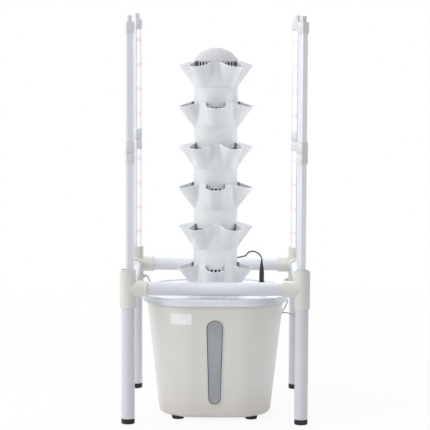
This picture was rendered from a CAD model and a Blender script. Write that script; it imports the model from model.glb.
import bmesh
import bpy
import math
from mathutils import Matrix, Vector


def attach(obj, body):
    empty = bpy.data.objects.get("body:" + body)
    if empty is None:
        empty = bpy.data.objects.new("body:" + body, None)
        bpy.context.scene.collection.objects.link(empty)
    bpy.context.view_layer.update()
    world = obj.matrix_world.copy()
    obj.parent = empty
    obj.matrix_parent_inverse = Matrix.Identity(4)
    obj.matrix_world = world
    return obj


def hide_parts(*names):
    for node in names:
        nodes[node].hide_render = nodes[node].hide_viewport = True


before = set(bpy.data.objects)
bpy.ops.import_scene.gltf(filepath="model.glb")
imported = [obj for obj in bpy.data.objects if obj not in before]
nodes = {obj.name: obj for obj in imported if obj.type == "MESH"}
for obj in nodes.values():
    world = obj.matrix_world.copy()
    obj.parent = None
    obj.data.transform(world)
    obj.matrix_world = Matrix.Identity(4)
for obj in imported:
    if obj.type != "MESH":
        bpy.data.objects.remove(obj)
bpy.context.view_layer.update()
mm = 0.001
unitY = -60 * mm  # the tub and tower stand in front of the frame's centre
legHalf = 206 * mm  # from the centre to the legs' axes
cornerSides = {"front_left": (-1, -1), "front_right": (1, -1), "rear_left": (-1, 1), "rear_right": (1, 1)}
print("frame loaded,", len(nodes), "nodes")


# camera at the photograph's viewing angle

cameraSet = {
    "place": (0.0227, -4.6344, 1.0297), "lens": 158.63,
    "yaw": 0.3015, "pitch": 83.195, "roll": 0.234,
}


def addCamera(look):
    bpy.ops.object.camera_add(location=look["place"])
    camera = bpy.context.object
    turn = Matrix.Rotation(math.radians(look["yaw"]), 3, "Z")
    turn = turn @ Matrix.Rotation(math.radians(look["pitch"]), 3, "X")
    turn = turn @ Matrix.Rotation(math.radians(look["roll"]), 3, "Z")
    camera.rotation_euler = turn.to_euler()
    camera.data.lens = look["lens"]
    camera.data.sensor_width = 36
    camera.data.clip_end = 50
    bpy.context.scene.camera = camera


addCamera(cameraSet)
print("camera set")


# hand tools

def clearPick():
    if bpy.context.object and bpy.context.object.mode != "OBJECT":
        bpy.ops.object.mode_set(mode="OBJECT")
    bpy.ops.object.select_all(action="DESELECT")


def makeActive(piece):
    clearPick()
    piece.select_set(True)
    bpy.context.view_layer.objects.active = piece


def editOn(piece, action="DESELECT"):
    makeActive(piece)
    bpy.ops.object.mode_set(mode="EDIT")
    bpy.ops.mesh.select_all(action=action)


def editOff():
    bpy.ops.object.mode_set(mode="OBJECT")


def pickAll():
    bpy.ops.mesh.select_all(action="SELECT")


def faceOut():
    # turns all faces outwards and ends the editing
    pickAll()
    bpy.ops.mesh.normals_make_consistent(inside=False)
    editOff()


def pullUp(height):
    bpy.ops.mesh.extrude_region_move(TRANSFORM_OT_translate={"value": (0, 0, height)})


def scaleAboutTub(scaleX, scaleY):
    bpy.ops.transform.resize(value=(scaleX, scaleY, 1), center_override=(0, unitY, 0))


def pickParts(piece, kind, rule):
    bpy.ops.mesh.select_mode(type=kind)
    bpy.ops.mesh.select_all(action="DESELECT")
    shape = bmesh.from_edit_mesh(piece.data)
    for part in {"VERT": shape.verts, "EDGE": shape.edges, "FACE": shape.faces}[kind]:
        if rule(part):
            part.select_set(True)
    shape.select_flush_mode()
    bmesh.update_edit_mesh(piece.data)


def edgeMid(edge):
    return (edge.verts[0].co + edge.verts[1].co) / 2


def isUpright(edge):
    return abs(edge.verts[0].co.z - edge.verts[1].co.z) > mm


def applyModifier(piece, kind, **settings):
    makeActive(piece)
    step = piece.modifiers.new(kind.lower(), kind)
    for key, value in settings.items():
        setattr(step, key, value)
    bpy.ops.object.modifier_apply(modifier=step.name)


def cutWith(piece, cutter, operation="DIFFERENCE"):
    applyModifier(piece, "BOOLEAN", object=cutter, operation=operation, solver="EXACT")
    bpy.data.objects.remove(cutter)


def roundEdges(piece, width, segments, angle=40):
    applyModifier(piece, "BEVEL", width=width * mm, segments=segments, limit_method="ANGLE",
                  angle_limit=math.radians(angle))


def smoothBy(piece, angle):
    makeActive(piece)
    bpy.ops.object.shade_smooth_by_angle(angle=math.radians(angle))


def settlePlace(piece):
    makeActive(piece)
    bpy.ops.object.transform_apply(location=True, rotation=True, scale=True)


def joinPieces(pieces):
    clearPick()
    for piece in pieces:
        piece.select_set(True)
    bpy.context.view_layer.objects.active = pieces[0]
    bpy.ops.object.join()
    return pieces[0]


def copyPiece(piece, place):
    twin = piece.copy()
    twin.data = piece.data.copy()
    bpy.context.scene.collection.objects.link(twin)
    twin.data.transform(place)
    return twin


def atCorner(corner, z=0):
    sideX, sideY = cornerSides[corner]
    return Vector((sideX * legHalf, sideY * legHalf, z))


def addBlock(size, place):
    # a block of some size round a place, both in millimetres
    clearPick()
    bpy.ops.mesh.primitive_cube_add(size=1, location=Vector(place) * mm)
    block = bpy.context.object
    block.scale = Vector(size) * mm
    settlePlace(block)
    return block


def addTube(radius, low, high, sides, fill="NGON", place=(0, 0)):
    # an upright cylinder with its radius and heights in millimetres
    clearPick()
    bpy.ops.mesh.primitive_cylinder_add(vertices=sides, radius=radius * mm, depth=(high - low) * mm,
                                        end_fill_type=fill, location=(*place, (low + high) / 2 * mm))
    tube = bpy.context.object
    settlePlace(tube)
    return tube


def dressPiece(piece, name, finish, replaced=(), body="stand"):
    settlePlace(piece)
    piece.name = name
    piece.data.name = name
    piece.data.materials.clear()
    piece.data.materials.append(finish)
    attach(piece, body)
    if replaced:
        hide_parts(*replaced)
    return piece


def startChain(points, closed):
    # one vertex, drawn out along the points in millimetres
    clearPick()
    bpy.ops.mesh.primitive_plane_add(size=mm)
    piece = bpy.context.object
    bpy.ops.object.mode_set(mode="EDIT")
    bpy.ops.mesh.select_mode(type="VERT")
    pickAll()
    bpy.ops.mesh.merge(type="CENTER")
    bpy.ops.transform.translate(value=Vector(points[0]) * mm)
    for here, there in zip(points, points[1:]):
        bpy.ops.mesh.extrude_vertices_move(TRANSFORM_OT_translate={"value": (Vector(there) - Vector(here)) * mm})
    if closed:
        pickAll()
        bpy.ops.mesh.edge_face_add()
    return piece


def lathePiece(profile, steps):
    # profile of (radius, height) in millimetres, from the top of the axis to the bottom of the axis
    piece = startChain([(r, 0, z) for r, z in profile], False)
    pickAll()
    bpy.ops.mesh.spin(steps=steps, angle=2 * math.pi, center=(0, 0, 0), axis=(0, 0, 1))
    pickAll()
    bpy.ops.mesh.remove_doubles(threshold=0.01 * mm)
    faceOut()
    return piece


def repeatLathe(profile, steps, angle, places):
    # the same turned piece at several places, joined to one
    master = lathePiece(profile, steps)
    smoothBy(master, angle)
    pieces = [copyPiece(master, place) for place in places]
    bpy.data.objects.remove(master)
    return joinPieces(pieces)


def drawnBar(outline, low, high):
    # an outline in millimetres drawn out upward
    piece = startChain([(x, y, low) for x, y in outline], True)
    pullUp((high - low) * mm)
    faceOut()
    return piece


def roundedPlate(width, depth, corner, place, segments):
    clearPick()
    bpy.ops.mesh.primitive_plane_add(size=1, location=place)
    piece = bpy.context.object
    piece.scale = (width, depth, 1)
    settlePlace(piece)
    editOn(piece, "SELECT")
    bpy.ops.mesh.bevel(offset=corner, segments=segments, affect="VERTICES")
    editOff()
    return piece


# finishes

def tone(red, green, blue):
    # the colour as seen, as the shader wants it
    return tuple(((c / 255 + 0.055) / 1.055) ** 2.4 if c > 10 else c / 3294 for c in (red, green, blue)) + (1,)


def startFinish(name, look):
    finish = bpy.data.materials.new(name)
    finish.use_nodes = True
    tree = finish.node_tree
    shader = tree.nodes["Principled BSDF"]
    for socket, value in look.get("sockets", {}).items():
        shader.inputs[socket].default_value = value
    return finish, tree, shader


def objectCoords(tree):
    return tree.nodes.new("ShaderNodeTexCoord").outputs["Object"]


def setSocket(tree, socket, value):
    # a plain value, or a link from another node's output
    if isinstance(value, bpy.types.NodeSocket):
        tree.links.new(value, socket)
    else:
        socket.default_value = value


def addNode(tree, kind, sockets):
    node = tree.nodes.new("ShaderNode" + kind)
    for key, value in sockets.items():
        setSocket(tree, node.inputs[key], value)
    return node.outputs


def addPaint(tree, name):
    # what is painted on the mesh under a name
    paint = tree.nodes.new("ShaderNodeAttribute")
    paint.attribute_name = name
    return paint.outputs["Fac"]


def addNoise(tree, coords, scale, detail, stretch=(1, 1, 1), offset=(0, 0, 0)):
    place = addNode(tree, "Mapping", {"Vector": coords, "Scale": stretch, "Location": offset})["Vector"]
    return addNode(tree, "TexNoise", {"Vector": place, "Scale": scale, "Detail": detail})["Fac"]


def addClouds(tree, coords, colour, shade, scale, detail, stretch=(1, 1, 1)):
    # a colour and a close shade of it in soft clouds
    ramp = tree.nodes.new("ShaderNodeValToRGB")
    for element, place, value in zip(ramp.color_ramp.elements, (0.3, 0.7), (shade, colour)):
        element.position = place
        element.color = tone(*value)
    tree.links.new(addNoise(tree, coords, scale, detail, stretch), ramp.inputs["Fac"])
    return ramp.outputs["Color"]


def addSpan(tree, value, low, high, fromLow=0.3, fromHigh=0.7):
    span = {"Value": value, "From Min": fromLow, "From Max": fromHigh, "To Min": low, "To Max": high}
    return addNode(tree, "MapRange", span)["Result"]


def addMix(tree, amount, first, second):
    mix = tree.nodes.new("ShaderNodeMix")
    mix.data_type = "RGBA"
    for name, value in (("Factor", amount), ("A", first), ("B", second)):
        setSocket(tree, mix.inputs[name], value)
    return [s for s in mix.outputs if s.type == "RGBA"][0]


def addBump(tree, shader, height, strength, distance):
    bump = addNode(tree, "Bump", {"Height": height, "Strength": strength, "Distance": distance})
    tree.links.new(bump["Normal"], shader.inputs["Normal"])


def plasticFinish(name, look):
    # its tones are a colour and a close shade in soft clouds, and a little dust; the grain is fine, the gloss uneven
    finish, tree, shader = startFinish(name, look)
    coords = objectCoords(tree)
    stretch = look.get("stretch", (1, 1, 1))
    colour, shade, dustColour = look["tones"]
    colour = addClouds(tree, coords, colour, shade, look.get("cloudScale", 7), 3, stretch)
    specks = addNoise(tree, coords, look.get("speckScale", 90), 4, stretch, (3, 1, 2))
    dust = addSpan(tree, specks, 0, look.get("dust", 0.12), 0.55, 0.8)
    colour = addMix(tree, dust, colour, tone(*dustColour))
    if "soil" in look:
        # faint soil that gathers low down and under a rim
        height = addNode(tree, "SeparateXYZ", {"Vector": coords})["Z"]
        for low, high, lowAmount, highAmount, soilColour in look["soil"]:
            amount = addSpan(tree, height, lowAmount, highAmount, low, high)
            colour = addMix(tree, amount, colour, soilColour)
    if "stain" in look:
        # deeper tone painted on the mesh, in channels and on lips
        colour = addMix(tree, addPaint(tree, "stain"), colour, look["stain"])
    tree.links.new(colour, shader.inputs["Base Color"])
    gloss = addNoise(tree, coords, look.get("glossScale", 30), 3, stretch, (7, 5, 3))
    tree.links.new(addSpan(tree, gloss, *look["rough"]), shader.inputs["Roughness"])
    grain = addNoise(tree, coords, look.get("grainScale", 900), 2, look.get("grainStretch", (1, 1, 1)))
    addBump(tree, shader, grain, look.get("grain", 0.12), 0.4 * mm)
    return finish


lightDust = (196, 192, 182)
pipeLook = {
    "tones": [(220, 221, 228), (214, 215, 223), lightDust],
    "rough": (0.28, 0.4), "dust": 0.05, "grain": 0.05, "cloudScale": 40,
}
fittingFinish = plasticFinish("fitting_cream", {
    "tones": [(224, 223, 218), (218, 217, 211), (190, 184, 170)],
    "rough": (0.4, 0.52), "dust": 0.1, "grain": 0.14, "cloudScale": 14,
})
rubberFinish = plasticFinish("foot_rubber", {
    "tones": [(24, 24, 26), (17, 17, 19), (80, 78, 74)],
    "rough": (0.62, 0.8), "dust": 0.25, "speckScale": 260, "grain": 0.3, "grainScale": 1400, "cloudScale": 40,
})
tubFinish = plasticFinish("tub_plastic", {
    "tones": [(231, 229, 225), (226, 224, 219), (192, 188, 178)],
    "rough": (0.46, 0.58), "dust": 0.07, "grain": 0.2, "grainScale": 1300, "cloudScale": 5,
    "soil": [(0.009, 0.09, 0.3, 0, tone(214, 201, 193)), (0.275, 0.2845, 0, 0.45, tone(150, 146, 138))],
})
lidFinish = plasticFinish("lid_plastic", {
    "tones": [(225, 228, 233), (219, 222, 228), lightDust],
    "rough": (0.26, 0.34), "dust": 0.07, "grain": 0.03, "cloudScale": 6,
})
planterLook = {
    "tones": [(224, 226, 228), (218, 220, 222), (186, 186, 176)],
    "rough": (0.44, 0.56), "dust": 0.08, "cloudScale": 12, "stain": tone(30, 29, 28),
    "sockets": {"Specular IOR Level": 0.3},
}
housingFinish = plasticFinish("bar_housing", {
    "tones": [(230, 233, 238), (222, 225, 231), (176, 176, 182)],
    "rough": (0.34, 0.46), "dust": 0.1, "stretch": (1, 1, 0.05), "cloudScale": 60, "speckScale": 400,
    "glossScale": 200, "grainStretch": (1, 1, 0.03), "grain": 0.1, "sockets": {"Metallic": 0.4},
    "stain": tone(196, 199, 206),
})
capFinish = plasticFinish("bar_cap", {
    "tones": [(226, 227, 230), (220, 221, 225), lightDust],
    "rough": (0.32, 0.44), "dust": 0.06, "grain": 0.1, "cloudScale": 40,
})
blackFinish = plasticFinish("black_plastic", {
    "tones": [(42, 44, 48), (34, 36, 40), (110, 108, 104)],
    "rough": (0.4, 0.55), "dust": 0.12, "speckScale": 220, "grain": 0.3, "grainScale": 1600, "cloudScale": 30,
})
greyFinish = plasticFinish("grey_plastic", {
    "tones": [(150, 154, 158), (138, 142, 147), (110, 108, 104)],
    "rough": (0.4, 0.55), "dust": 0.1, "cloudScale": 30,
})
labelFinish = plasticFinish("blank_label", {
    "tones": [(253, 252, 251), (247, 246, 245), (214, 210, 204)],
    "rough": (0.5, 0.62), "dust": 0.1, "speckScale": 160, "grain": 0.25, "grainScale": 2400, "cloudScale": 50,
})
rimFinish = plasticFinish("window_rim", {
    "tones": [(222, 221, 214), (214, 213, 206), (176, 172, 160)],
    "rough": (0.36, 0.48), "dust": 0.08, "cloudScale": 30,
})
windowFinish = plasticFinish("smoky_window", {
    "tones": [(168, 171, 176), (152, 156, 162), (184, 187, 190)],
    "rough": (0.16, 0.26), "dust": 0.14, "grain": 0.04, "cloudScale": 9, "stretch": (3, 1, 1),
    "sockets": {"Coat Weight": 0.5, "Coat Roughness": 0.08},
})

pipeUpright = plasticFinish("pipe_upright", dict(pipeLook, stretch=(1, 1, 0.08)))
pipeAcross = plasticFinish("pipe_across", dict(pipeLook, stretch=(0.08, 1, 1)))
pipeAlong = plasticFinish("pipe_along", dict(pipeLook, stretch=(1, 0.08, 1)))
planterFinish = plasticFinish("planter_plastic", planterLook)
domeFinish = plasticFinish("dome_plastic", dict(
    planterLook, tones=[(201, 200, 203), (195, 195, 198), (186, 186, 176)]))


def litFinish(name, look):
    # milky cover that glows a little, with the chips behind it as soft pink bands
    finish, tree, shader = startFinish(name, look)
    coords = objectCoords(tree)
    colour = addClouds(tree, coords, *look["tones"], 24, 2)
    glow = addPaint(tree, "glow")
    colour = addMix(tree, glow, colour, look["chip"])
    tree.links.new(colour, shader.inputs["Base Color"])
    light = addMix(tree, glow, look["light"], look["chipLight"])
    tree.links.new(light, shader.inputs["Emission Color"])
    gloss = addNoise(tree, coords, 60, 2)
    tree.links.new(addSpan(tree, gloss, 0.3, 0.45), shader.inputs["Roughness"])
    return finish


coverFinish = litFinish("lit_cover", {
    "tones": [(176, 175, 177), (170, 169, 172)], "chip": tone(170, 150, 156),
    "light": tone(255, 253, 255), "chipLight": tone(244, 210, 220), "sockets": {"Emission Strength": 0.68}})


def leadFinish(name, look):
    # moulded sheath with a fine grain
    finish, tree, shader = startFinish(name, look)
    coords = objectCoords(tree)
    tree.links.new(addClouds(tree, coords, *look["tones"], 60, 3), shader.inputs["Base Color"])
    gloss = addNoise(tree, coords, 200, 2)
    tree.links.new(addSpan(tree, gloss, 0.45, 0.62), shader.inputs["Roughness"])
    addBump(tree, shader, addNoise(tree, coords, 1800, 2), 0.2, 0.3 * mm)
    return finish


blackLead = leadFinish("black_lead_sheath", {"tones": [(46, 48, 54), (34, 36, 42)]})
greyLead = leadFinish("grey_lead_sheath", {"tones": [(150, 152, 158), (132, 134, 142)]})
print("finishes made")


# leads: the same routes as the solids, in metres

leadSet = {
    "powerD": 0.0035, "lightD": 0.0028, "cuts": 3,
    "power_lead": [
        (0.115, 0.040, 0.360), (0.115, 0.040, 0.364), (0.111, 0.041, 0.371), (0.103, 0.043, 0.378),
        (0.092, 0.045, 0.381), (0.081, 0.047, 0.377), (0.075, 0.049, 0.369), (0.066, 0.053, 0.366),
        (0.024, 0.088, 0.346), (0.008, 0.113, 0.296), (0, 0.100, 0.238), (0, 0.096, 0.218), (0, 0.096, 0.206)],
    "light_lead_rear_left": [
        (-0.181, 0.206, 0.293), (-0.176, 0.206, 0.292), (-0.170, 0.205, 0.277), (-0.158, 0.197, 0.254),
        (-0.128, 0.168, 0.223), (-0.080, 0.114, 0.186), (-0.060, 0.097, 0.178), (-0.051, 0.096, 0.178)],
    "light_lead_rear_right": [
        (0.181, 0.206, 0.285), (0.178, 0.206, 0.283), (0.178, 0.206, 0.270), (0.186, 0.206, 0.238),
        (0.182, 0.205, 0.219), (0.171, 0.199, 0.203), (0.146, 0.178, 0.193), (0.082, 0.115, 0.188),
        (0.060, 0.097, 0.188), (0.051, 0.096, 0.188)],
    "light_lead_front_right": [
        (0.206, -0.181, 0.285), (0.206, -0.175, 0.283), (0.206, -0.148, 0.254), (0.205, -0.060, 0.213),
        (0.199, 0.105, 0.208), (0.189, 0.152, 0.206), (0.172, 0.178, 0.203), (0.146, 0.158, 0.192),
        (0.082, 0.109, 0.171), (0.060, 0.097, 0.170), (0.051, 0.096, 0.170)],
}


def smoothRoute(points, cuts):
    points = [Vector(p) for p in points]
    last = len(points) - 1
    path = []
    for i in range(last):
        a, b, c, d = points[max(i - 1, 0)], points[i], points[i + 1], points[min(i + 2, last)]
        for step in range(cuts):
            t = step / cuts
            path.append(0.5 * (2 * b + (c - a) * t + (2 * a - 5 * b + 4 * c - d) * t * t
                               + (3 * b - a - 3 * c + d) * t * t * t))
    return path + [points[last]]


def makeLead(node, finish, diameter):
    path = smoothRoute(leadSet[node], leadSet["cuts"])
    curve = bpy.data.curves.new(node + "_sheath", "CURVE")
    curve.dimensions = "3D"
    curve.bevel_depth = diameter / 2
    curve.bevel_resolution = 4
    curve.use_fill_caps = True
    spline = curve.splines.new("POLY")
    spline.points.add(len(path) - 1)
    for point, co in zip(spline.points, path):
        point.co = (*co, 1)
    lead = bpy.data.objects.new(node + "_sheath", curve)
    bpy.context.scene.collection.objects.link(lead)
    curve.materials.append(finish)
    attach(lead, "stand")
    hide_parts(node)


# power plug with its ribbed strain relief, which is on the power lead

plugSet = {
    "place": (0.115, 0.040, 0.304),
    "tip": [(0, 56), (1.75, 56), (1.9, 55)],
    "ribs": 6, "ribTop": 54, "ribPitch": 4.2, "ribR": 2.05, "ribGrow": 0.62,
    "rib": [(0.35, 0), (0.45, -0.6), (0.55, -2.2), (0.05, -2.6), (0.1, -3.8)],
    "grip": [(5.5, 28.4), (5.9, 27.6), (6, 26.6), (6, 8), (5.6, 7.4), (5.6, 6.2), (6, 5.6), (6, 0.6), (5.6, 0.1),
             (2.95, 0), (2.95, -4.8), (0, -4.8)],
}


def makePlug(look):
    profile = list(look["tip"])
    for k in range(look["ribs"]):
        # rings of the strain relief, wider towards the grip
        z = look["ribTop"] - look["ribPitch"] * k
        r = look["ribR"] + look["ribGrow"] * k
        profile += [(r + out, z + rise) for out, rise in look["rib"]]
    plug = lathePiece(profile + look["grip"], 40)
    plug.location = look["place"]
    smoothBy(plug, 30)
    return dressPiece(plug, "plug_grip", blackFinish, ["power_plug"])


plugPiece = makePlug(plugSet)
makeLead("power_lead", blackLead, leadSet["powerD"])
for corner in ("rear_left", "rear_right", "front_right"):
    makeLead("light_lead_" + corner, greyLead, leadSet["lightD"])
print("leads and plug made")


# planter tiers: a skin round the column and its five pots, then a slotted spigot below

tierSet = {
    "count": 6, "pots": 5, "pitch": 98, "seam": 306.4,
    "columnR": 53, "columnWall": 3, "flareR": 55.7, "flareH": 62, "spigot": 60, "spigotIn": 24,
    "lipR": 93.5, "lipDrop": 12.5, "potR": 26, "lean": 32, "taper": 6, "wall": 2.2, "step": 1.2, "ease": 10,
    "blend": 2.6, "rows": 22, "edge": 0.5, "tuck": 0.99, "slotH": 13, "darkR": 62, "darkFade": 8,
    "turns": [0, 3, 6, 9, 12, 14, 16, 17.5, 18.6, 19.6, 20.4, 21.1, 21.8, 22.6, 23.4, 24.2, 25, 25.8, 26.6, 27.4,
              28.2, 29, 30, 31.5, 33.5, 36],  # degrees from a pot's middle to the corner between two pots
}
slotSet = {"sides": 180, "pitch": 5, "open": (1, 2, 3)}  # sides of the ring, sides to a slot, those cut away


def bodyRadius(look, z):
    # the body starts with a small step over the column and widens a little above the seam
    low = look["columnR"] + look["step"]
    return low + (look["flareR"] - low) * min(z / look["ease"], 1)


def tierGap(look, angle, reach, z):
    # how far a point lies outside the column and the nearest pot, with a soft corner between the two
    lean, taper = math.radians(look["lean"]), math.radians(look["taper"])
    axisR = look["lipR"] - look["potR"] * math.cos(lean)
    axisZ = look["flareH"] - look["lipDrop"] + look["potR"] * math.sin(lean)
    side = Vector((reach * math.cos(angle) - axisR, reach * math.sin(angle), z - axisZ))
    along = side.dot(Vector((math.sin(lean), 0, math.cos(lean))))
    # a pot is round in front, and its sides run straight back to the column
    front = max(side.dot(Vector((math.cos(lean), 0, -math.sin(lean)))), 0)
    across = math.hypot(side.y, front)
    potGap = (across - look["potR"] - along * math.tan(taper)) * math.cos(taper)
    columnGap = reach - bodyRadius(look, z)
    soft = max(look["blend"] - abs(potGap - columnGap), 0) / look["blend"]
    return min(potGap, columnGap) - soft * soft * look["blend"] / 4


def tierReach(look, angle, z):
    reach = look["lipR"] + look["potR"]
    while reach > bodyRadius(look, z) and tierGap(look, angle, reach, z) > 0:
        reach -= 1
    low, high = reach, reach + 1
    for _ in range(16):
        mid = (low + high) / 2
        if tierGap(look, angle, mid, z) > 0:
            high = mid
        else:
            low = mid
    return max(low, bodyRadius(look, z))


def rimHeight(look, angle):
    # the rim is flat over the column and slopes down to the lips
    slope = look["lipDrop"] / (look["lipR"] - look["flareR"])
    z = look["flareH"]
    for _ in range(40):
        z = 0.5 * z + 0.5 * (look["flareH"] - (tierReach(look, angle, z) - look["flareR"]) * slope)
    return z


def paintPiece(piece, name, rule):
    paint = piece.data.attributes.new(name, "FLOAT", "POINT")
    for vert, spot in zip(piece.data.vertices, paint.data):
        spot.value = min(max(rule(vert), 0), 1)


def slottedRing(radius, wall, low, high, slotH):
    ring = addTube(radius, low, high, slotSet["sides"], "NOTHING")
    editOn(ring, "SELECT")
    bpy.ops.mesh.bisect(plane_co=(0, 0, (low + slotH) * mm), plane_no=(0, 0, 1))

    def inSlot(face):
        middle = face.calc_center_median()
        side = int(math.degrees(math.atan2(middle.y, middle.x)) % 360 / 360 * slotSet["sides"])
        return middle.z < (low + slotH) * mm and side % slotSet["pitch"] in slotSet["open"]

    pickParts(ring, "FACE", inSlot)
    bpy.ops.mesh.delete(type="FACE")
    editOff()
    applyModifier(ring, "SOLIDIFY", thickness=wall * mm, offset=-1, use_even_offset=True)
    paintPiece(ring, "stain", lambda v: (radius * mm - v.co.xy.length) / (wall * mm))
    return ring


def makeTier(look):
    half = [math.radians(a) for a in look["turns"]]
    reaches = {}
    sheet = [-a for a in reversed(half[1:])] + half[:-1]
    heights = [rimHeight(look, abs(a)) for a in sheet]
    count = len(sheet) * look["pots"]
    skin = addTube(look["flareR"], 0, look["flareH"], count, "NOTHING")
    editOn(skin)
    pickParts(skin, "EDGE", isUpright)
    bpy.ops.mesh.subdivide(number_cuts=look["rows"] - 1)
    editOff()
    for vert in skin.data.vertices:
        # each upright line of the cylinder becomes one line of the flared skin
        column = round(math.degrees(math.atan2(vert.co.x, vert.co.y)) % 360 / 360 * count) % count
        share = vert.co.z / (look["flareH"] * mm)
        pot, line = divmod(column, len(sheet))
        z = heights[line] * share
        key = (line, round(share, 4))
        if key not in reaches:
            reaches[key] = tierReach(look, abs(sheet[line]), z)
        turn = sheet[line] + 2 * math.pi * pot / look["pots"]
        vert.co = Vector((reaches[key] * math.cos(turn), reaches[key] * math.sin(turn), z)) * mm
    editOn(skin)
    pickParts(skin, "EDGE", lambda e: e.is_boundary and edgeMid(e).z < mm)
    inner = look["columnR"] / look["flareR"] * look["tuck"]
    bpy.ops.mesh.extrude_edges_move(TRANSFORM_OT_translate={"value": (0, 0, 0)})
    bpy.ops.transform.resize(value=(inner, inner, 1), center_override=(0, 0, 0))
    faceOut()
    applyModifier(skin, "SOLIDIFY", thickness=look["wall"] * mm, offset=-1, use_even_offset=False)
    roundEdges(skin, look["edge"], 2, 50)

    def darkness(vert):
        # the deep ends of the pots and the inside of the column are dark
        return (look["darkR"] - vert.co.xy.length / mm) / look["darkFade"] if vert.normal.dot(vert.co) < 0 else 0

    paintPiece(skin, "stain", darkness)
    spigot = slottedRing(look["columnR"], look["columnWall"], -look["spigot"], 2, look["slotH"])
    tier = joinPieces([skin, spigot])
    smoothBy(tier, 40)
    return tier


tierMaster = makeTier(tierSet)
for number in range(1, tierSet["count"] + 1):
    turn = math.radians(-90 + (180 / tierSet["pots"] if number % 2 == 0 else 0))
    place = Matrix.Translation((0, unitY, (tierSet["seam"] + tierSet["pitch"] * (number - 1)) * mm))
    tier = copyPiece(tierMaster, place @ Matrix.Rotation(turn, 4, "Z"))
    dressPiece(tier, f"planter_tier_{number}", planterFinish, [f"tier_{number}"],
               "stand" if number == 1 else f"tier_{number}_body")
bpy.data.objects.remove(tierMaster)
print("planter tiers made")


# dome cap over the top tier

domeSet = {
    "seat": 858.7, "radius": 54.3, "height": 31, "wall": 2.5, "steps": 14, "innerSteps": 6, "bowl": 0.985,
    "edge": [(0.1, 0.35), (0.5, 0), (5, 0)], "slotH": 22,
}


def makeDome(look):
    ball = (look["radius"] ** 2 + look["height"] ** 2) / (2 * look["height"])
    inner = ball - look["wall"]
    foot = look["height"] - ball  # height of the ball's middle
    # the outer bowl, its edge, then the inner bowl up to the axis
    sweep = math.asin(look["radius"] / ball) * look["bowl"]
    turns = [sweep * k / look["steps"] for k in range(look["steps"] + 1)]
    profile = [(ball * math.sin(a), foot + ball * math.cos(a)) for a in turns]
    profile += [(look["radius"] - inset, z) for inset, z in look["edge"]]
    sweep = math.asin((look["radius"] - look["edge"][-1][0]) / inner)
    turns = [sweep * k / look["innerSteps"] for k in range(look["innerSteps"], -1, -1)]
    profile += [(inner * math.sin(a), foot + inner * math.cos(a)) for a in turns]
    shell = lathePiece(profile, 96)
    ring = slottedRing(tierSet["columnR"], tierSet["columnWall"], -tierSet["spigotIn"], 1, look["slotH"])
    dome = joinPieces([shell, ring])
    dome.location = (0, unitY, look["seat"] * mm)
    smoothBy(dome, 40)
    dressPiece(dome, "dome_shell", domeFinish, ["dome_cap"], "dome")


makeDome(domeSet)
print("dome made")


# tub with its window, rim and gasket

tubSet = {
    "low": (0.269, 0.242), "top": (0.331, 0.304), "corner": 0.090, "height": 0.2795, "base": 0.0075,
    "wall": 0.003, "fillet": 0.010, "steps": 6,
}
windowSet = {
    "low": 49.5, "length": 174.5, "lowR": 14.5, "topR": 19.5,
    "rimW": 2.5, "gasketW": 1.3, "gasketGap": 0.15, "paneGap": 0.05,
    "hole": (-9, 9), "rim": (0, 1.4), "gasket": (-2.6, -0.5), "pane": (-2.8, 0.1),  # from the wall's face
}


def windowBlock(look, grow, low, high):
    # upright pill between two arcs, as thick as low to high in front of the wall
    arcs = ((look["lowR"], look["low"]), (look["topR"], look["low"] + look["length"]))
    pill = joinPieces([addTube(radius + grow, low, high, 48, place=(0, y * mm)) for radius, y in arcs])
    editOn(pill, "SELECT")
    bpy.ops.mesh.convex_hull()
    pickAll()
    bpy.ops.mesh.dissolve_limited(angle_limit=math.radians(1))
    editOff()
    return pill


def ontoWall(piece):
    # the front wall starts at the tub's lower edge and leans outwards
    low, top = tubSet["low"][1], tubSet["top"][1]
    lean = math.atan((top - low) / 2 / tubSet["height"])
    place = Matrix.Translation((0, unitY - low / 2, tubSet["base"]))
    piece.data.transform(place @ Matrix.Rotation(math.pi / 2 + lean, 4, "X"))


def makeTub(look):
    tub = roundedPlate(*look["low"], look["corner"], (0, unitY, look["base"]), 18)
    editOn(tub, "SELECT")
    size = Vector(look["low"])
    step = (Vector(look["top"]) - size) / look["steps"]
    for _ in range(look["steps"]):
        pullUp(look["height"] / look["steps"])
        grown = size + step
        scaleAboutTub(grown.x / size.x, grown.y / size.y)
        size = grown
    bpy.ops.mesh.delete(type="FACE")
    pickParts(tub, "EDGE", lambda e: abs(edgeMid(e).z - look["base"]) < 0.1 * mm)
    bpy.ops.mesh.bevel(offset=look["fillet"], segments=6)
    faceOut()
    applyModifier(tub, "SOLIDIFY", thickness=look["wall"], offset=-1, use_even_offset=True)
    hole = windowBlock(windowSet, 0, *windowSet["hole"])
    ontoWall(hole)
    cutWith(tub, hole)
    smoothBy(tub, 30)
    dressPiece(tub, "tub_shell", tubFinish, ["tub"])


def pillRing(look, outer, inner, low, high):
    ring = windowBlock(look, outer, low, high)
    cutWith(ring, windowBlock(look, inner, low - 2, high + 2))
    return ring


def setInWall(piece, edge, segments, name, finish, replaced=()):
    roundEdges(piece, edge, segments)
    ontoWall(piece)
    smoothBy(piece, 40)
    dressPiece(piece, name, finish, replaced)


def makeWindow(look):
    inner = -look["gasketW"]
    rim = pillRing(look, look["rimW"], 0, *look["rim"])
    setInWall(rim, 0.5, 3, "window_frame", rimFinish, ["window_rim"])
    gasket = pillRing(look, -look["gasketGap"], inner, *look["gasket"])
    setInWall(gasket, 0.3, 2, "window_gasket", rubberFinish)
    pane = windowBlock(look, inner + look["paneGap"], *look["pane"])
    setInWall(pane, 1, 4, "window_glass", windowFinish, ["window_pane"])


makeTub(tubSet)
makeWindow(windowSet)
print("tub and window made")


# lid: a shallow dish with a rolled rim, a flat top and a collar under the tower

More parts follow.
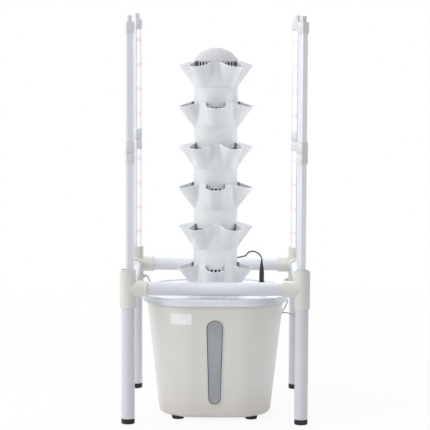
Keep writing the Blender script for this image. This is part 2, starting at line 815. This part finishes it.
lidSet = {
    "width": 0.354, "depth": 0.330, "corner": 0.118, "rimAngle": 32,
    # steps of (inset, height) from the under edge over the rim to the flat top, in millimetres
    "rim": [(11, 284.7), (6, 284.6), (2.2, 284.7), (0.7, 285.2), (0.1, 286.2), (0, 287.2), (0.4, 288.1), (1.2, 288.9),
            (1.7, 289.9), (1.8, 291.5), (1.8, 297.6), (2, 299.2), (2.6, 300.6), (3.5, 301.5), (4.6, 302), (6, 302),
            (6.6, 301.6), (7.1, 300.4), (7.5, 299.3), (8.6, 299)],
    "hollow": {"fit": 0.0004, "corner": 0.112, "low": 0.280, "mouth": 0.0072, "shrink": 0.96, "deep": 0.0078},
    "collar": [(53.5, 305.9), (54, 306.4), (57.9, 306.4), (59, 305.9), (59.5, 304.8), (59.8, 300.4), (60.5, 299.4),
               (61.7, 298.9), (61.7, 297), (53.5, 295.2), (53.5, 305.9)],
    "holeSpan": (270, 330), "holes": [(54.5, (0, unitY)), (6.2, (0.115, 0.040))],  # radius and place
}


def makeLidHollow(look):
    # room underneath for the tub's top edge
    width, depth = (side + look["fit"] for side in tubSet["top"])
    hollow = roundedPlate(width, depth, look["corner"], (0, unitY, look["low"]), 20)
    editOn(hollow, "SELECT")
    pullUp(look["mouth"])
    scaleAboutTub(look["shrink"], look["shrink"])
    pullUp(look["deep"])
    faceOut()
    return hollow


def makeLid(look):
    width, depth = look["width"], look["depth"]
    (start, low), *upper = look["rim"]
    lid = roundedPlate(width, depth, look["corner"], (0, unitY, low * mm), 20)
    editOn(lid, "SELECT")
    scaleAboutTub(*((side - 2 * start * mm) / side for side in (width, depth)))
    for (inset, z), (nextInset, nextZ) in zip(look["rim"], upper):
        pullUp((nextZ - z) * mm)
        scaleAboutTub(*((side - 2 * nextInset * mm) / (side - 2 * inset * mm) for side in (width, depth)))
    faceOut()
    cutWith(lid, makeLidHollow(look["hollow"]))
    for radius, place in look["holes"]:
        cutWith(lid, addTube(radius, *look["holeSpan"], 96, place=place))
    collar = lathePiece(look["collar"], 96)
    collar.location = (0, unitY, 0)
    lid = joinPieces([lid, collar])
    smoothBy(lid, look["rimAngle"])
    dressPiece(lid, "lid_dish", lidFinish, ["lid"])


makeLid(lidSet)
print("lid made")


# light posts: modelled once with the lit face along +X, then turned into their corners

postSet = {
    "base": 370.5, "shift": 4,
    # turn in degrees and drop in millimetres
    "corners": {"front_left": (18, 0), "front_right": (130, 0), "rear_left": (-50, 0), "rear_right": (235, 4)},
    "bars": [(-18, 266), (290, 571)], "barW": 16, "wall": 1.8, "grooves": (4.6, 2.2, -0.2, -2.6, -5),
    "coverT": 2, "coverGap": 0.15, "coverCuts": 139,
    "chipPitch": 62.5, "chips": 4, "chipLift": (10, 6), "chipGlow": 5.6, "glowMiddle": 0.55,
    "caps": [(252, 278), (278.6, 304), (557, 583)], "capW": 20, "capRound": 2.2, "capEdge": 0.6,
    "nub": (10, 13, 583, 598), "nubRound": 2.4, "nubEdge": 1.6, "nubWall": 0.4, "nubDeep": 6,
    "pins": (-2.2, 0, 2.2), "pin": [(0, 596), (0.4, 595.9), (0.6, 595.2), (0.6, 591.5), (0, 591.5)],
}


def housingOutline(look):
    # rounded channel, open along +X, with fine grooves down its sides and back
    half, wall = look["barW"] / 2, look["wall"]
    lip = half - wall
    points = [(half, lip), (half, half - 0.3), (half - 0.3, half)]
    for x in look["grooves"]:
        points += [(x + 0.35, half), (x + 0.1, half - 0.5), (x - 0.25, half - 0.5), (x - 0.5, half)]
    points += [(-half + 1.2, half), (-half + 0.35, half - 0.35), (-half, half - 1.2)]
    points += [(-half, 4.2), (-half + 0.5, 4), (-half + 0.5, 3.6), (-half, 3.4)]
    mirrored = [(x, -y) for x, y in reversed(points)]
    return points + mirrored + [(-half + wall, -lip), (-half + wall, lip)]


def makeBars(look):
    bar = joinPieces([drawnBar(housingOutline(look), low, high) for low, high in look["bars"]])
    paintPiece(bar, "stain", lambda v: 1 if v.co.x > (look["barW"] / 2 - 0.1) * mm else 0)
    smoothBy(bar, 30)
    return bar


def makeCovers(look):
    half = look["barW"] / 2
    edge = half - look["wall"] - look["coverGap"]
    outline = [(half - look["coverT"], -edge), (half - 0.5, -edge), (half - 0.12, -edge + 0.9),
               (half + 0.12, -edge + 2.6), (half + 0.2, 0), (half + 0.12, edge - 2.6), (half - 0.12, edge - 0.9),
               (half - 0.5, edge), (half - look["coverT"], edge)]
    covers = []
    for low, high in look["bars"]:
        cover = drawnBar(outline, low, high)
        editOn(cover)
        pickParts(cover, "EDGE", isUpright)
        bpy.ops.mesh.subdivide(number_cuts=look["coverCuts"])
        editOff()
        covers.append(cover)
    cover = joinPieces(covers)
    chips = [(low + high) / 2 + lift + (k - (look["chips"] - 1) / 2) * look["chipPitch"]
             for (low, high), lift in zip(look["bars"], look["chipLift"]) for k in range(look["chips"])]

    def shine(vert):
        # how much of the light chips shows through, strongest over a chip and towards the sides
        reach = min(abs(vert.co.z / mm - chip) for chip in chips) / look["chipGlow"]
        side = min(abs(vert.co.y / mm) / edge, 1)
        return math.exp(-reach ** 4) * (look["glowMiddle"] + (1 - look["glowMiddle"]) * side)

    paintPiece(cover, "glow", shine)
    smoothBy(cover, 30)
    return cover


def roundedBlock(size, place, radius, segments):
    # block with its upright edges rounded, left in edit mode
    block = addBlock(size, place)
    editOn(block)
    pickParts(block, "EDGE", isUpright)
    bpy.ops.mesh.bevel(offset=radius * mm, segments=segments)
    return block


def makeCaps(look):
    caps = []
    for low, high in look["caps"]:
        cap = roundedBlock((look["capW"], look["capW"], high - low), (0, 0, (low + high) / 2), look["capRound"], 5)
        editOff()
        roundEdges(cap, look["capEdge"], 2, 60)
        caps.append(cap)
    # hollow connector nub, which starts a millimetre inside the top cap
    depth, width, low, high = look["nub"]
    nub = roundedBlock((depth, width, high - low + 1), (0, 0, (low + high - 1) / 2), look["nubRound"], 4)
    pickParts(nub, "EDGE", lambda e: edgeMid(e).z > (high - 0.01) * mm)
    bpy.ops.mesh.bevel(offset=look["nubEdge"] * mm, segments=4)
    pickParts(nub, "FACE", lambda f: f.normal.z > 0.99)
    bpy.ops.mesh.inset(thickness=look["nubWall"] * mm)
    pullUp(-look["nubDeep"] * mm)
    editOff()
    cap = joinPieces(caps + [nub])
    smoothBy(cap, 35)
    return cap


def makePins(look):
    # contacts inside the connector
    return repeatLathe(look["pin"], 16, 40, [Matrix.Translation((0, y * mm, 0)) for y in look["pins"]])


pinFinish = plasticFinish("contact_brass", {
    "tones": [(206, 190, 140), (190, 172, 120), (140, 128, 100)],
    "rough": (0.24, 0.36), "dust": 0.1, "cloudScale": 80, "sockets": {"Metallic": 1},
})
postMasters = [
    (makeBars(postSet), "bars", "post_housing", housingFinish, ["housings"]),
    (makeCovers(postSet), "lit_covers", "post_cover", coverFinish, ["covers"]),
    (makeCaps(postSet), "end_caps", "post_plastic", capFinish, ["caps"]),
    (makePins(postSet), "contacts", "post_board", pinFinish, []),
]
for corner, (turn, drop) in postSet["corners"].items():
    place = Matrix.Translation(atCorner(corner, (postSet["base"] - drop) * mm))
    place = place @ Matrix.Rotation(math.radians(turn), 4, "Z") @ Matrix.Translation((postSet["shift"] * mm, 0, 0))
    for master, label, slot, finish, covered in postMasters:
        piece = copyPiece(master, place)
        dressPiece(piece, f"light_{corner}_{label}", finish,
                   [f"post_{corner}_{name}" for name in covered], "post_" + corner)
for master in postMasters:
    bpy.data.objects.remove(master[0])
print("light posts made")


# corner fittings: crossing sleeves with a rolled bead at each mouth

fittingSet = {
    "low": 279.5, "top": 370.5, "rail": 325, "sleeveR": 19, "boreR": 16.2, "postR": 16.05,
    "reach": 46, "insert": 22, "postInsert": 31, "wireR": 8, "sides": 64,
    "bead": [(-1.4, 0.1), (-0.2, 0), (0.25, 0.4), (0.4, 1.2), (0.4, 2.6), (0.2, 3.2), (-0.4, 3.5), (-1.4, 3.5),
             (-1.4, 0.1)],
    "turns": {"front_left": 0, "front_right": 90, "rear_left": 270, "rear_right": 180},
}


def layOut(piece, turn):
    # lays an upright piece along the direction turn at the rails' height
    lay = Matrix.Rotation(math.radians(turn), 4, "Z") @ Matrix.Rotation(math.pi / 2, 4, "Y")
    piece.data.transform(Matrix.Translation((0, 0, fittingSet["rail"] * mm)) @ lay)
    return piece


def makeFitting(look):
    # the branches of the master run along +X and +Y
    low, top, reach = look["low"], look["top"], look["reach"]

    def bar(radius, start, end):
        return addTube(look[radius], start, end, look["sides"])

    fitting = bar("sleeveR", low, top)
    for turn in (0, 90):
        cutWith(fitting, layOut(bar("sleeveR", 0, reach), turn), "UNION")
    for turn in (0, 90):
        cutWith(fitting, layOut(bar("boreR", reach - look["insert"], reach + 1), turn))
    cutWith(fitting, bar("boreR", low - 1, low + look["insert"]))
    cutWith(fitting, bar("postR", top - look["postInsert"], top + 1))
    cutWith(fitting, bar("wireR", low, top))
    smoothBy(fitting, 30)
    return fitting


def makeBeads(look):
    # rolled bead round each mouth
    def bead(at, way):
        return lathePiece([(look["sleeveR"] + out, at + way * z) for out, z in look["bead"]], look["sides"])

    branches = [layOut(bead(look["reach"], -1), turn) for turn in (0, 90)]
    beads = joinPieces([bead(look["low"], 1), bead(look["top"], -1)] + branches)
    smoothBy(beads, 40)
    return beads


fittingMaster = makeFitting(fittingSet)
beadMaster = makeBeads(fittingSet)
for corner, turn in fittingSet["turns"].items():
    place = Matrix.Translation(atCorner(corner)) @ Matrix.Rotation(math.radians(turn), 4, "Z")
    dressPiece(copyPiece(fittingMaster, place), f"corner_{corner}", fittingFinish, [f"fitting_{corner}"])
    dressPiece(copyPiece(beadMaster, place), f"corner_{corner}_beads", fittingFinish)
bpy.data.objects.remove(fittingMaster)
bpy.data.objects.remove(beadMaster)
print("corner fittings made")


# rubber feet under the legs and the tub

feetSet = {
    "leg": [(0, 28), (13.2, 28), (13.8, 27.2), (13.8, 13.2), (15.7, 13), (16, 12.6), (16, 11.4), (15.6, 10.9),
            (15.6, 10.1), (16, 9.6), (16, 2.2), (15.6, 0.9), (14.6, 0.2), (13, 0), (9, 0), (8, 1), (0, 1)],
    "tub": [(0, 7.5), (14.2, 7.5), (15, 6.9), (15, 5.2), (14.4, 4.7), (14.4, 4.2), (14.8, 3.7), (14.4, 1.2),
            (13.6, 0.3), (12.4, 0), (8, 0), (7, 1), (0, 1)],
    "tubHalf": 0.088,
}


def makeFeet(profile, places, name, node):
    feet = repeatLathe(profile, 64, 35, [Matrix.Translation(place) for place in places])
    dressPiece(feet, name, rubberFinish, [node])


tubHalf = feetSet["tubHalf"]
tubCorners = [(x * tubHalf, unitY + y * tubHalf, 0) for x, y in cornerSides.values()]
makeFeet(feetSet["leg"], [atCorner(corner) for corner in cornerSides], "leg_foot_caps", "leg_feet")
makeFeet(feetSet["tub"], tubCorners, "tub_foot_pads", "tub_feet")
print("feet made")


# supply box behind the tub

boxSet = {
    "width": 90, "low": 150, "top": 200, "front": (76.8, 82.35), "back": 110.35, "round": 3,
    "panel": [(2.5, 0), (0.8, -0.9), (0.8, 0.9)],  # width and depth of the steps round the back's panel
    "louvres": 6, "louvrePitch": 9, "louvre": (3.5, 1.6, 22), "louvreAt": (110.6, 176),
    "glands": [((0, 96, 200), "Z", 0), ((-45, 96, 178), "Y", -90), ((45, 96, 188), "Y", 90),
               ((45, 96, 170), "Y", 90)],
    "nut": [(0, 6), (3.2, 6), (3.7, 5.6), (4, 4.9), (4, 4.2), (3.6, 3.9), (3.6, 3.4), (4, 3.1), (4, -1), (0, -1)],
    "mains": [(3.5, 150.5), (6.5, 150.5), (6.5, 147.4), (6, 147), (6, 146.4), (6.5, 146), (6.5, 144.6), (6, 144),
              (3.8, 144), (3.5, 144.4), (3.5, 150.5)],
    "mainsAt": (0, 96, 0),
    "screw": [(0, 1.1), (0.6, 1.1), (0.7, 0.6), (2, 0.7), (2.5, 0.4), (2.6, 0), (0, 0)],
    "screwX": (-39, 39), "screwY": 110.2, "screwZ": (156, 194),
}


def makeCase(look):
    # the front leans with the tub's wall
    (lowFront, topFront), back, low, top = look["front"], look["back"], look["low"], look["top"]
    middle = Vector((0, (topFront + back) / 2, (low + top) / 2))
    case = addBlock((look["width"], back - topFront, top - low), middle)
    editOn(case)
    pickParts(case, "VERT", lambda v: v.co.z < middle.z * mm and v.co.y < middle.y * mm)
    bpy.ops.transform.translate(value=(0, (lowFront - topFront) * mm, 0))
    pickParts(case, "EDGE", lambda e: edgeMid(e).y > middle.y * mm
              or abs(e.verts[0].co.y - e.verts[1].co.y) > 10 * mm)
    bpy.ops.mesh.bevel(offset=look["round"] * mm, segments=4)
    pickParts(case, "FACE", lambda f: f.normal.y > 0.99)
    for width, depth in look["panel"]:
        bpy.ops.mesh.inset(thickness=width * mm, depth=depth * mm)
    editOff()
    smoothBy(case, 35)
    return case


def makeBox(look):
    parts = [makeCase(look)]
    for k in range(look["louvres"]):
        # cooling louvres on the back
        louvre = addBlock(look["louvre"], ((k - (look["louvres"] - 1) / 2) * look["louvrePitch"], *look["louvreAt"]))
        roundEdges(louvre, 0.7, 3)
        smoothBy(louvre, 40)
        parts.append(louvre)
    parts.append(repeatLathe(look["nut"], 24, 35, [
        Matrix.Translation(Vector(place) * mm) @ Matrix.Rotation(math.radians(turn), 4, axis)
        for place, axis, turn in look["glands"]]))
    mains = lathePiece(look["mains"], 40)
    mains.data.transform(Matrix.Translation(Vector(look["mainsAt"]) * mm))
    smoothBy(mains, 35)
    parts.append(mains)
    dressPiece(joinPieces(parts), "supply_case", blackFinish, ["supply_box"])


def makeScrews(look):
    lay = Matrix.Rotation(-math.pi / 2, 4, "X")
    screws = repeatLathe(look["screw"], 24, 35, [
        Matrix.Translation(Vector((x, look["screwY"], z)) * mm) @ lay
        for x in look["screwX"] for z in look["screwZ"]])
    dressPiece(screws, "case_screws", greyFinish)


makeBox(boxSet)
makeScrews(boxSet)
print("supply box made")


# carried-over nodes keep their shape and take a finish

nodeFinishes = {
    "label_plate": labelFinish, "distributor": blackFinish, "riser_pipe": blackFinish, "pump_body": blackFinish,
    "pump_cover": blackFinish, "pump_impeller": greyFinish, "power_socket": blackFinish, "lead_glands": fittingFinish,
    "rail_front": pipeAcross, "rail_rear": pipeAcross, "rail_left": pipeAlong, "rail_right": pipeAlong,
}
boardFinish = plasticFinish("light_board", {
    "tones": [(226, 226, 220), (216, 217, 210), (180, 170, 140)],
    "rough": (0.4, 0.5), "cloudScale": 90,
})
for corner in cornerSides:
    nodeFinishes["leg_" + corner] = pipeUpright
    nodeFinishes[f"post_{corner}_plug"] = capFinish
    nodeFinishes[f"post_{corner}_boards"] = boardFinish
for name, finish in nodeFinishes.items():
    nodes[name].data.materials.clear()
    nodes[name].data.materials.append(finish)
print("carried nodes finished")


# floor, lamps and world

stageSet = {
    "floor": 40, "floorZ": -0.0004, "floorColour": (0.9, 0.9, 0.9, 1), "shadow": 0.1, "shadowReach": (0.9, 2.2),
    "fill": 0.43, "fillColour": (0.97, 0.98, 1, 1),
    "lamps": {  # place, aim, width, height, power, spread in degrees
        "key": ((-3.2, -1.3, 2.0), (0, 0, 0.45), 3.6, 3.6, 78, 180),
        "back": ((0, 3.4, 2.2), (0, 0, 0.45), 5.0, 4.0, 64, 180),
        "top": ((0, -0.2, 3.2), (0, 0, 0.45), 3.0, 3.0, 36, 180),
        "low": ((0.1, -2.6, 0.95), (0, -0.06, 0.362), 0.12, 0.05, 0.014, 6),
        "flank": ((2.6, -0.1, 0.22), (0.15, -0.1, 0.18), 0.05, 0.25, 0.018, 6),
    },
    "bars": {"front_left": 0.08, "front_right": 0.26, "rear_right": 0.24},  # power
    "barLamp": {"z": 0.66, "ahead": 0.018, "width": 0.012, "height": 0.56},
}


def addMath(tree, operation, *values, kind="Math"):
    step = tree.nodes.new("ShaderNode" + kind)
    step.operation = operation
    for socket, value in zip(step.inputs, values):
        tree.links.new(value, socket)
    return step.outputs


def seenRays(tree):
    # rays of the camera, of reflections and through clear pieces
    rays = tree.nodes.new("ShaderNodeLightPath").outputs
    seen = addMath(tree, "MAXIMUM", rays["Is Camera Ray"], rays["Is Glossy Ray"])[0]
    return addMath(tree, "MAXIMUM", seen, rays["Is Transmission Ray"])[0]


def showMix(tree, amount, first, second, output):
    mix = addNode(tree, "MixShader", {"Fac": amount, 1: first[0], 2: second[0]})
    addNode(tree, output, {"Surface": mix[0]})


def makeStage(look):
    clearPick()
    bpy.ops.mesh.primitive_plane_add(size=look["floor"], location=(0, 0, look["floorZ"]))
    floor = bpy.context.object
    floor.name = "studio_floor"
    finish = bpy.data.materials.new("studio_floor")
    finish.use_nodes = True
    tree = finish.node_tree
    tree.nodes.clear()
    matte = addNode(tree, "BsdfDiffuse", {"Color": look["floorColour"]})
    white = addNode(tree, "Emission", {})
    # white to the eye, with the shadow kept round the object
    away = addMath(tree, "LENGTH", objectCoords(tree), kind="VectorMath")["Value"]
    share = addSpan(tree, away, 1 - look["shadow"], 1, *look["shadowReach"])
    showMix(tree, addMath(tree, "MULTIPLY", seenRays(tree), share)[0], matte, white, "OutputMaterial")
    floor.data.materials.append(finish)


def makeWorld(look):
    world = bpy.data.worlds.new("studio")
    bpy.context.scene.world = world
    world.use_nodes = True
    tree = world.node_tree
    tree.nodes.clear()
    soft = addNode(tree, "Background", {"Color": look["fillColour"], "Strength": look["fill"]})
    white = addNode(tree, "Background", {"Color": (1, 1, 1, 1)})
    showMix(tree, seenRays(tree), soft, white, "OutputWorld")


def addLamp(name, place, aim, width, height, power, spread=180):
    bpy.ops.object.light_add(type="AREA", location=place)
    lamp = bpy.context.object
    lamp.name = name
    lamp.data.shape = "RECTANGLE"
    lamp.data.size = width
    lamp.data.size_y = height
    lamp.data.energy = power
    lamp.data.spread = math.radians(spread)
    lamp.rotation_euler = Vector(aim).to_track_quat("-Z", "Y").to_euler()
    lamp.visible_camera = False


clearPick()
makeStage(stageSet)
makeWorld(stageSet)
for name, (place, aim, width, height, power, spread) in stageSet["lamps"].items():
    addLamp(name, place, Vector(aim) - Vector(place), width, height, power, spread)
barLamp = stageSet["barLamp"]
for corner, power in stageSet["bars"].items():
    # the lit bars throw some light on the tower
    turn = math.radians(postSet["corners"][corner][0])
    aim = Vector((math.cos(turn), math.sin(turn), 0))
    place = atCorner(corner, barLamp["z"]) + barLamp["ahead"] * aim
    addLamp("glow_" + corner, place, aim, barLamp["width"], barLamp["height"], power)
bpy.context.scene.view_settings.view_transform = "Standard"
print("stage and light set")
